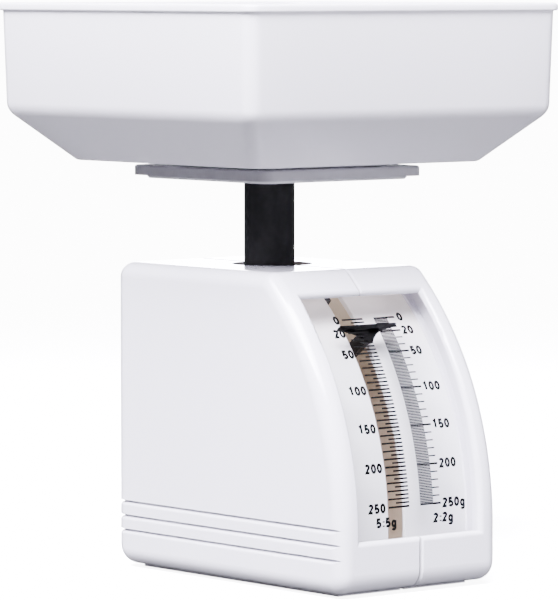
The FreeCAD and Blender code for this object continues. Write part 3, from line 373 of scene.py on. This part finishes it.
def housing_plastic():
    """Glossy white plastic, with painted shade at the joint line and a painted warm glow inside for
    leaked light.
    """
    # The inside colour is painted light: a warm tone and glow for light leaking through the shells; the
    # joint colour is painted shade.
    outside, inside, painted_joint_shade = (0.82, 0.81, 0.88), (0.50, 0.41, 0.34), (0.46, 0.45, 0.48)
    joint_core, joint_edge = 0.15, 0.5
    made = moulded("body_white", outside, 0.16, grain_mm=1.6, grain_depth=0.004, mottle=0.008,
                   sink_mm=0.05, coat=0.4, specular=0.6)
    across = made.math("ABSOLUTE", made.axes()[0])
    # Painted shade: greyer at the joint line between the halves, fading out half a millimetre from it.
    joint_shade = made.between(across, 1.0, 0.0, joint_core * MM, joint_edge * MM)
    tone = made.mix(joint_shade, made.tone(), painted_joint_shade)
    hidden = inside_shells(made)
    # Painted light: the inner faces take the warm colour and emit it as a glow, for light leaking through
    # the shells.
    made.feed("Base Color", made.mix(hidden, tone, inside))
    made.shader.inputs["Emission Color"].default_value = (*inside, 1)
    made.feed("Emission Strength", made.math("MULTIPLY", hidden, light_leak(made)))
    return made


def dial_plastic():
    """Matt white plastic, with painted warm light and a painted glow at its top, for light coming through
    the housing.
    """
    painted_warm_light = (0.84, 0.77, 0.74)
    warm_from, warm_to, leak = 68.0, 84.0, 0.5
    made = moulded("dial_white", (0.80, 0.80, 0.82), 0.5, grain_depth=0.01, mottle=0.015)
    # Painted light: a warm tint and glow that fade in towards the top of the plate.
    share = made.between(made.axes()[2], 0.0, 1.0, warm_from * MM, warm_to * MM)
    made.feed("Base Color", made.mix(share, made.tone(), painted_warm_light))
    made.shader.inputs["Emission Color"].default_value = (*painted_warm_light, 1)
    made.feed("Emission Strength", made.math("MULTIPLY", share, leak))
    return made


def pan_plastic():
    """Satin white plastic with painted light and shade: darkest at the pan's shoulder, brighter farther
    above or below it.
    """
    painted_light_tone = (0.92, 0.91, 0.97)
    bright_share = 0.85
    made = moulded("pan_white", (0.68, 0.67, 0.72), 0.34, grain_mm=0.9, grain_depth=0.006,
                   mottle=0.008, sink_mm=0.04)
    low, high = box_mm("pan")
    shoulder_z = low.z + PAN_SHOULDER
    # Painted light and shade: the colour brightens with distance from the shoulder and is darkest at the
    # shoulder.
    away = made.math("ABSOLUTE", made.math("SUBTRACT", made.axes()[2], shoulder_z * MM))
    share = made.between(away, 0.0, 1.0, 0.0, (high.z - shoulder_z) * bright_share * MM)
    made.feed("Base Color", made.mix(share, made.tone(), painted_light_tone))
    return made


def drawn_steel(name, colour, roughness):
    """Plated steel with fine drawn lines along X."""
    along, across = 400.0, 2500.0
    dark_share, glossier, duller = 0.8, 0.08, 0.12
    made = Recipe(name)
    made.shader.inputs["Metallic"].default_value = 1.0
    lines = made.noise(1.0, 3.0, (along, across, across))
    made.feed("Base Color", made.between(lines, scaled(colour, dark_share), colour))
    made.feed("Roughness", made.between(lines, roughness - glossier, roughness + duller))
    made.feed("Normal", made.bump(lines, 0.01))
    return made


def clear_plastic():
    """Thin clear plastic: see-through, with a gloss on its outer side that grows towards grazing."""
    reflected, refraction, passed = 0.07, 1.45, 0.985
    made = Recipe("window_clear")
    shader = made.shader
    shader.inputs["Base Color"].default_value = (0.95, 0.96, 0.96, 1)
    shader.inputs["Roughness"].default_value = 0.05
    shader.inputs["Metallic"].default_value = 1.0
    made.feed("Normal", made.bump(made.noise(60.0, 2.0), 0.02))
    see = made.node("BsdfTransparent", Color=(passed, passed, passed, 1))
    mirror = made.node("Fresnel", IOR=refraction)
    outward = made.math("SUBTRACT", 1.0, made.node("NewGeometry").outputs["Backfacing"])
    share = made.math("MULTIPLY", made.math("MULTIPLY", mirror.outputs["Fac"], outward),
                      reflected)
    mix = made.node("MixShader")
    made.link(share, mix.inputs["Fac"])
    made.link(see.outputs["BSDF"], mix.inputs[1])
    made.link(shader.outputs["BSDF"], mix.inputs[2])
    made.link(mix.outputs["Shader"], made.tree.nodes["Material Output"].inputs["Surface"])
    return made


def make_materials():
    """All the materials by name, which for CAD nodes are the record's material slots."""
    recipes = [
        housing_plastic(),
        pan_plastic(),
        dial_plastic(),
        moulded("pointer_black", (0.003, 0.003, 0.0035), 0.55, grain_depth=0.006, specular=0.08),
        moulded("lever_black", (0.006, 0.0055, 0.0055), 0.45, grain_depth=0.012, specular=0.2),
        moulded("post_black", (0.006, 0.006, 0.007), 0.42, grain_mm=0.4, grain_depth=0.006,
                wear=0.1, specular=0.22),
        moulded("carrier_grey", (0.50, 0.50, 0.52), 0.42, wear=0.2),
        moulded("platform_grey", (0.33, 0.325, 0.345), 0.42, grain_mm=0.35, grain_depth=0.02,
                wear=0.2),
        moulded("wheel_grey", (0.33, 0.325, 0.345), 0.42, wear=0.3),
        moulded("foot_rubber", (0.07, 0.07, 0.072), 0.75, grain_mm=0.3, grain_depth=0.03),
        moulded("print_black", (0.002, 0.002, 0.002), 0.6, grain_depth=0.002, mottle=0.1,
                specular=0.1),
        moulded("print_grey", (0.005, 0.005, 0.0055), 0.6, grain_depth=0.002, mottle=0.1,
                specular=0.1),
        drawn_steel("steel", (0.62, 0.62, 0.62), 0.3),
        drawn_steel("spring_steel", (0.45, 0.45, 0.46), 0.28),
        clear_plastic(),
    ]
    return {recipe.name: recipe.material for recipe in recipes}


MATERIALS = make_materials()


# ------------------------------------------------------------------ mesh helpers

def new_piece(name, mesh, material, body, replaced=(), smooth=True):
    """Put a finished mesh in the scene, on its body, in place of the CAD nodes it stands for."""
    piece = bpy.data.objects.new(name, mesh)
    bpy.context.scene.collection.objects.link(piece)
    mesh.materials.clear()
    mesh.materials.append(MATERIALS[material])
    mesh.polygons.foreach_set("use_smooth", [smooth] * len(mesh.polygons))
    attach(piece, body)
    if replaced:
        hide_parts(*replaced)
    return piece


def to_mesh(build, name):
    """Turn a bmesh into a mesh whose faces all point outwards."""
    bmesh.ops.recalc_face_normals(build, faces=build.faces)
    mesh = bpy.data.meshes.new(name)
    build.to_mesh(mesh)
    build.free()
    return mesh


def soften(piece, width_mm, segments=3, sharp=35.0):
    """Round the piece's edges that turn by more than the sharp angle."""
    bevel = piece.modifiers.new("soft_edges", "BEVEL")
    bevel.width = width_mm * MM
    bevel.segments = segments
    bevel.limit_method = "ANGLE"
    bevel.angle_limit = math.radians(sharp)
    bevel.harden_normals = True


def rounded_square(half, radius, height, centre, corner_steps=8, side_steps=6):
    """Points round a square with round corners, counter-clockwise from above."""
    points = []
    flat = half - radius
    corners = [(flat, flat), (-flat, flat), (-flat, -flat), (flat, -flat)]
    for number, (x, y) in enumerate(corners):
        start = number * math.pi / 2
        for step in range(corner_steps + 1):
            angle = start + step * math.pi / 2 / corner_steps
            points.append((x + radius * math.cos(angle), y + radius * math.sin(angle)))
        turn = start + math.pi / 2
        next_x, next_y = corners[(number + 1) % 4]
        goal = (next_x + radius * math.cos(turn), next_y + radius * math.sin(turn))
        here = points[-1]
        for step in range(1, side_steps):
            share = step / side_steps
            points.append((here[0] + (goal[0] - here[0]) * share,
                           here[1] + (goal[1] - here[1]) * share))
    return [Vector((x + centre[0], y + centre[1], height)) * MM for x, y in points]


def round_path(points, steps=5):
    """A path of (x, z, radius) points with each corner rounded by its radius."""
    path = []
    for number, (x, z, radius) in enumerate(points):
        here = Vector((x, z))
        if radius <= 0 or number in (0, len(points) - 1):
            path.append(here)
            continue
        before = Vector(points[number - 1][:2]) - here
        after = Vector(points[number + 1][:2]) - here
        half_turn = before.angle(after) / 2
        reach = radius / math.tan(half_turn)
        middle = (before.normalized() + after.normalized()).normalized()
        centre = here + middle * (radius / math.sin(half_turn))
        first = here + before.normalized() * reach - centre
        last = here + after.normalized() * reach - centre
        sweep = first.angle_signed(last)
        for step in range(steps + 1):
            turned = first.copy()
            turned.rotate(Matrix.Rotation(-sweep * step / steps, 2))
            path.append(centre + turned)
    return path


def skin(rings, name):
    """A closed mesh from rings of equal length, with flat caps."""
    build = bmesh.new()
    rows = [[build.verts.new(point) for point in ring] for ring in rings]
    count = len(rings[0])
    for low, high in zip(rows, rows[1:]):
        for step in range(count):
            other = (step + 1) % count
            build.faces.new((low[step], low[other], high[other], high[step]))
    build.faces.new(list(reversed(rows[0])))
    build.faces.new(rows[-1])
    return to_mesh(build, name)


def prism(outline, place, depths, name):
    """A closed plate from an outline of (u, v) points: place(u, v, depth) gives each point."""
    return skin([[place(u, v, depth) for u, v in outline] for depth in depths], name)


# ------------------------------------------------------------------ pan

def add_pan():
    """A square bowl: foot ring, sloping skirt, nearly upright walls and a lip that overhangs."""
    low, high = box_mm("pan")
    centre = ((low.x + high.x) / 2, (low.y + high.y) / 2)
    lip = (high.x - low.x) / 2
    wall, shoulder, bottom, foot = lip - 1.0, lip - 1.8, lip - 17.0, lip - 37.0
    foot_z, top_z = low.z, high.z
    bottom_z, shoulder_z, lip_z = foot_z + 1.3, foot_z + PAN_SHOULDER, top_z - 2.4
    thick, middle = 2.0, 2.0
    corner, corner_share = 4.6, 0.2
    profile = round_path([
        (middle, bottom_z, 0), (foot - 2.2, bottom_z, 0), (foot - 2.0, foot_z, 0.3),
        (foot - 0.2, foot_z, 0.4), (foot, bottom_z, 0.4), (bottom, bottom_z, 1.6),
        (shoulder, shoulder_z, 6.0), (wall, lip_z, 0.35), (lip, lip_z + 0.1, 0.45),
        (lip, top_z, 0.9), (wall - thick, top_z, 0.9), (shoulder - thick, shoulder_z + 0.7, 5.0),
        (bottom - 0.9, bottom_z + thick, 3.0), (middle, bottom_z + thick, 0)])
    rings = [rounded_square(across, min(across * corner_share, corner), height, centre)
             for across, height in profile]
    new_piece("weighing_pan", skin(rings, "pan"), "pan_white", "pan", ("pan",))


# ------------------------------------------------------------------ dial print

WINDOW_RADIUS = 98.2
FILM = 0.04
FILM_GAP = FILM / 8
ZERO_ANGLE = 38.58
DEGREES_PER_GRAM = 0.1372
FULL_SCALE = 250
NAMED_GRAMS = (0, 20, 50, 100, 150, 200, 250)
TICK_START = 2.15
BAND_END = 7.3
LEFT_SHORT, LEFT_LONG = -7.3, -10.2
RIGHT_LONG, RIGHT_NAMED = 9.9, 10.3
LEFT_HEIGHT, LEFT_NAMED_HEIGHT = 0.52, 0.6
BAND_HEIGHT, BAND_NAMED_HEIGHT = 0.36, 0.5
RIGHT_HEIGHT, RIGHT_NAMED_HEIGHT = 0.42, 0.62
LEFT_NUMERALS, RIGHT_NUMERALS, RIGHT_ZERO = -11.5, 11.15, 11.6
NUMERAL_HEIGHT = 3.0
UNIT_ANGLE = 1.8
UNIT_TEXTS = (("5:5g", -11.2), ("2:2g", 11.15))


def angle_of(grams):
    """Where a load's mark stands about the lever's axis, in degrees above the level."""
    return ZERO_ANGLE - DEGREES_PER_GRAM * grams


def print_line(build, x, angle, height):
    """A printed line from x[0] to x[1], as a closed film on the window's inner face."""
    half = math.degrees(height / 2 / WINDOW_RADIUS)
    corners = [on_arc(across, angle + turn, WINDOW_RADIUS - depth)
               for depth in (FILM, FILM_GAP) for turn in (-half, half) for across in x]
    points = [build.verts.new(corner) for corner in corners]
    for side in ((0, 1, 3, 2), (4, 5, 7, 6), (0, 1, 5, 4), (2, 3, 7, 6), (0, 2, 6, 4), (1, 3, 7, 5)):
        build.faces.new([points[number] for number in side])


def add_lines(name, material, lines):
    """One piece of print from lines of (x ends, grams, height)."""
    build = bmesh.new()
    for x, grams, height in lines:
        print_line(build, x, angle_of(grams), height)
    new_piece(name, to_mesh(build, name), material, "housing", smooth=False)


def add_graduations():
    """Marks at every 5 g on the left, and a band of marks at every 2 g on the right."""
    left = []
    right = []
    fine = []
    for grams in range(0, FULL_SCALE + 1, 5):
        end = LEFT_LONG if grams % 10 == 0 else LEFT_SHORT
        height = LEFT_NAMED_HEIGHT if grams in NAMED_GRAMS else LEFT_HEIGHT
        left.append(((end, -TICK_START), grams, height))
    for grams in range(0, FULL_SCALE + 1, 2):
        if grams in NAMED_GRAMS:
            right.append(((TICK_START, BAND_END), grams, BAND_NAMED_HEIGHT))
            right.append(((BAND_END, RIGHT_NAMED), grams, RIGHT_NAMED_HEIGHT))
            continue
        fine.append(((TICK_START, BAND_END), grams, BAND_HEIGHT))
        if grams % 10 == 0:
            fine.append(((BAND_END, RIGHT_LONG), grams, RIGHT_HEIGHT))
    add_lines("left_graduations", "print_black", left)
    add_lines("fine_graduations", "print_grey", fine)
    add_lines("named_graduations", "print_black", right)


def bow(centre, radii, start, end, steps=10):
    """Points on part of an ellipse, from one angle to another in degrees."""
    angles = [math.radians(start + (end - start) * step / steps) for step in range(steps + 1)]
    return [(centre[0] + radii[0] * math.cos(angle), centre[1] + radii[1] * math.sin(angle))
            for angle in angles]


# Letters are drawn in a box one unit high, as paths that a stroke follows.
STROKE = 0.265
LOW, HIGH = STROKE / 2, 1 - STROKE / 2
DIGIT_STEP = 0.77
DIGIT_WIDTH = 0.58
GLYPHS = {
    "0": [bow((0.26, 0.5), (0.21, HIGH - 0.5), 90, 450, 20)],
    "1": [[(0.08, 0.74), (0.3, HIGH), (0.3, LOW)]],
    "2": [bow((0.26, 0.71), (0.2, HIGH - 0.71), 165, -35) + [(0.06, LOW), (0.48, LOW)]],
    "5": [[(0.45, HIGH), (0.12, HIGH), (0.09, 0.5)]
          + bow((0.25, 0.34), (0.22, 0.34 - LOW), 125, -150)],
    "g": [bow((0.25, 0.34), (0.19, 0.26), 0, 360, 16),
          [(0.45, 0.66), (0.45, -0.05)] + bow((0.25, -0.05), (0.2, 0.18), 0, -155)[1:]],
    ":": [[(0.12, 0.1), (0.12, 0.24)], [(0.12, 0.52), (0.12, 0.66)]],
}
STEPS = {":": 0.42}
MITRE_LIMIT = 0.5
SAME_POINT = 0.001


def stroke_sides(points, closed):
    """The left and the right side of a stroke along a path."""
    sides = ([], [])
    count = len(points)
    for number, point in enumerate(points):
        here = Vector(point)
        before = Vector(points[number - 1]) if number or closed else None
        after = Vector(points[(number + 1) % count]) if number + 1 < count or closed else None
        into = (here - before).normalized() if before is not None else (after - here).normalized()
        out = (after - here).normalized() if after is not None else into
        along = (into + out).normalized()
        half = STROKE / 2 / max(MITRE_LIMIT, along.dot(into))
        normal = Vector((-along.y, along.x))
        sides[0].append(here + normal * half)
        sides[1].append(here - normal * half)
    return sides


def print_stroke(build, points, put):
    """One stroke as a closed film; put(u, v, depth) gives its place on the window."""
    closed = (Vector(points[0]) - Vector(points[-1])).length < SAME_POINT
    if closed:
        points = points[:-1]
    rows = []
    left, right = stroke_sides(points, closed)
    for depth, side in ((FILM, left), (FILM, right), (FILM_GAP, right), (FILM_GAP, left)):
        rows.append([build.verts.new(put(spot.x, spot.y, depth)) for spot in side])
    count = len(points)
    for step in range(count if closed else count - 1):
        other = (step + 1) % count
        for row in range(4):
            near, far = rows[row], rows[(row + 1) % 4]
            build.faces.new((near[step], near[other], far[other], far[step]))
    if not closed:
        build.faces.new([row[0] for row in rows])
        build.faces.new([row[-1] for row in reversed(rows)])


def letter_place(origin, angle):
    """How a letter's (u, v, depth) becomes a place on the window, from its left edge and middle."""
    def put(u, v, depth):
        turn = math.degrees((v - 0.5) * NUMERAL_HEIGHT / WINDOW_RADIUS)
        return on_arc(origin + u * NUMERAL_HEIGHT, angle + turn, WINDOW_RADIUS - depth)

    return put


def print_text(build, text, x, angle, align):
    """Print a text about an angle. align is 0 if x is its left end, 0.5 its middle, 1 its right end."""
    starts = []
    reach = 0.0
    for letter in text:
        starts.append(reach)
        reach += STEPS.get(letter, DIGIT_STEP)
    width = reach - (DIGIT_STEP - DIGIT_WIDTH)
    for letter, start in zip(text, starts):
        put = letter_place(x + (start - width * align) * NUMERAL_HEIGHT, angle)
        for points in GLYPHS[letter]:
            print_stroke(build, points, put)


def add_numerals():
    """Numbers beside the named marks on both sides, and what one mark stands for at the foot."""
    build = bmesh.new()
    for grams in NAMED_GRAMS:
        print_text(build, str(grams), LEFT_NUMERALS, angle_of(grams), 1.0)
        ending = "g" if grams == FULL_SCALE else ""
        left = RIGHT_ZERO if grams == 0 else RIGHT_NUMERALS
        print_text(build, str(grams) + ending, left, angle_of(grams), 0.0)
    for text, middle in UNIT_TEXTS:
        print_text(build, text, middle, UNIT_ANGLE, 0.5)
    new_piece("numerals", to_mesh(build, "numerals"), "print_black", "housing", smooth=False)


# ------------------------------------------------------------------ pointer

def add_pointer():
    """A bar across both scales on the front of a funnel that narrows in two hollow curves.

    The bar's section is a wedge, whose underside rises from its front face to the funnel.
    """
    low, high = box_mm("pointer")
    angle = 37.85
    front, back, face = 97.0, 94.4, 95.2
    inside = face - 0.2
    half, bar, bar_back, drop = (high.x - low.x) / 2, 1.6, 0.3, 5.2
    funnel_half, tip_half = 10.6, 0.6
    edge_round = 0.12

    def place(u, v, radius):
        """Across, up from the bar's top edge, and out from the lever's axis."""
        turn = math.radians(angle)
        return Vector((u, PIVOT_Y - radius * math.cos(turn) + v * math.sin(turn),
                       PIVOT_Z + radius * math.sin(turn) + v * math.cos(turn))) * MM

    def place_section(radius, v, u):
        return place(u, v, radius)

    section = [(inside, 0), (front, 0), (front, -bar), (face, -bar_back), (inside, -bar_back)]
    run, fall = funnel_half - tip_half, drop - bar_back
    bend = (run * run + fall * fall) / (2 * fall)
    sweep = math.asin(run / bend)
    steps = 10
    side = []
    for step in range(steps + 1):
        turn = sweep * step / steps
        side.append((funnel_half - bend * math.sin(turn),
                     -bar_back - bend * (1 - math.cos(turn))))
    funnel_outline = [(-u, v) for u, v in side] + list(reversed(side))
    funnel_outline += [(funnel_half, 0), (-funnel_half, 0)]
    bar_mesh = prism(section, place_section, (-half, 0, half), "pointer_bar")
    funnel_mesh = prism(funnel_outline, place, (back, face), "pointer_funnel")
    piece = new_piece("dial_pointer", bar_mesh, "pointer_black", "lever",
                      ("pointer",))
    tool = bpy.data.objects.new("funnel", funnel_mesh)
    bpy.context.scene.collection.objects.link(tool)
    union = piece.modifiers.new("union", "BOOLEAN")
    union.operation = "UNION"
    union.object = tool
    bpy.context.view_layer.update()
    joined = bpy.data.meshes.new_from_object(
        piece.evaluated_get(bpy.context.evaluated_depsgraph_get()))
    piece.modifiers.clear()
    piece.data = joined
    bpy.data.objects.remove(tool)
    soften(piece, edge_round)


# ------------------------------------------------------------------ what stays from the CAD

def dress_cad_nodes():
    """Give every CAD node the material that its slot in the record names."""
    slots = {row["node"]: row["material_slot"] for row in frame["record"]["subparts"]}
    for name, node in frame["nodes"].items():
        node.data.materials.clear()
        node.data.materials.append(MATERIALS[slots[name]])


add_camera()
add_studio()
add_floor()
dress_cad_nodes()
add_pan()
add_graduations()
add_numerals()
add_pointer()
